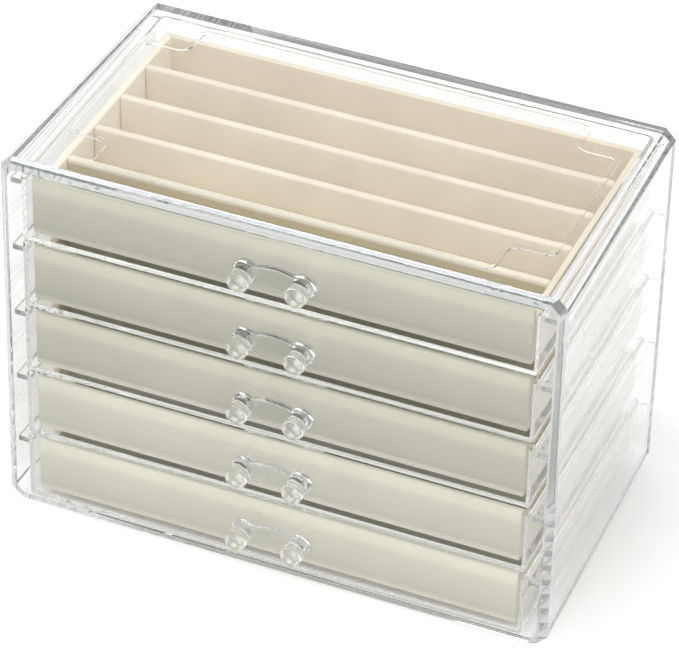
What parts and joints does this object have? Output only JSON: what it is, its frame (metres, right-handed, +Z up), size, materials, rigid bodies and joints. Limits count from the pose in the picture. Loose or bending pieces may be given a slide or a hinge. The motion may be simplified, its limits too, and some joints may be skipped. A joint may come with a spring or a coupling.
{
  "type": "necklace organizer with drawers",
  "caption": "Clear stackable casing with a column of sliding drawers, each holding a velvet tray split by boards into long necklace channels, with a two-knob pull.",
  "frame": {"origin": "centre of the overall footprint, pulls included, on the surface the casing stands on", "axes": "+Z up, the drawers open towards -Y, +X to the right seen from the front"},
  "size_m": [0.235, 0.1422, 0.169],
  "materials": {
    "casing_clear": "clear polished moulded plastic",
    "drawer_clear": "clear polished moulded plastic",
    "pull_clear": "clear polished moulded plastic",
    "tray_velvet": "beige velvet"
  },
  "bodies": {
    "case": {"case_shell": "casing_clear", "case_runners_left": "casing_clear", "case_runners_right": "casing_clear"},
    "drawer_1": {"drawer_1_box": "drawer_clear", "drawer_1_handle": "pull_clear", "drawer_1_tray": "tray_velvet", "drawer_1_dividers": "tray_velvet"},
    "drawer_2": {"drawer_2_box": "drawer_clear", "drawer_2_handle": "pull_clear", "drawer_2_tray": "tray_velvet", "drawer_2_dividers": "tray_velvet"},
    "drawer_3": {"drawer_3_box": "drawer_clear", "drawer_3_handle": "pull_clear", "drawer_3_tray": "tray_velvet", "drawer_3_dividers": "tray_velvet"},
    "drawer_4": {"drawer_4_box": "drawer_clear", "drawer_4_handle": "pull_clear", "drawer_4_tray": "tray_velvet", "drawer_4_dividers": "tray_velvet"},
    "drawer_5": {"drawer_5_box": "drawer_clear", "drawer_5_handle": "pull_clear", "drawer_5_tray": "tray_velvet", "drawer_5_dividers": "tray_velvet"}
  },
  "joints": [
    {"name": "drawer_1_slide", "type": "slide", "parent": "case", "child": "drawer_1", "axis": [0, -1, 0], "range_m": [0, 0.11]},
    {"name": "drawer_2_slide", "type": "slide", "parent": "case", "child": "drawer_2", "axis": [0, -1, 0], "range_m": [0, 0.11]},
    {"name": "drawer_3_slide", "type": "slide", "parent": "case", "child": "drawer_3", "axis": [0, -1, 0], "range_m": [0, 0.11]},
    {"name": "drawer_4_slide", "type": "slide", "parent": "case", "child": "drawer_4", "axis": [0, -1, 0], "range_m": [0, 0.11]},
    {"name": "drawer_5_slide", "type": "slide", "parent": "case", "child": "drawer_5", "axis": [0, -1, 0], "range_m": [0, 0.11]}
  ]
}
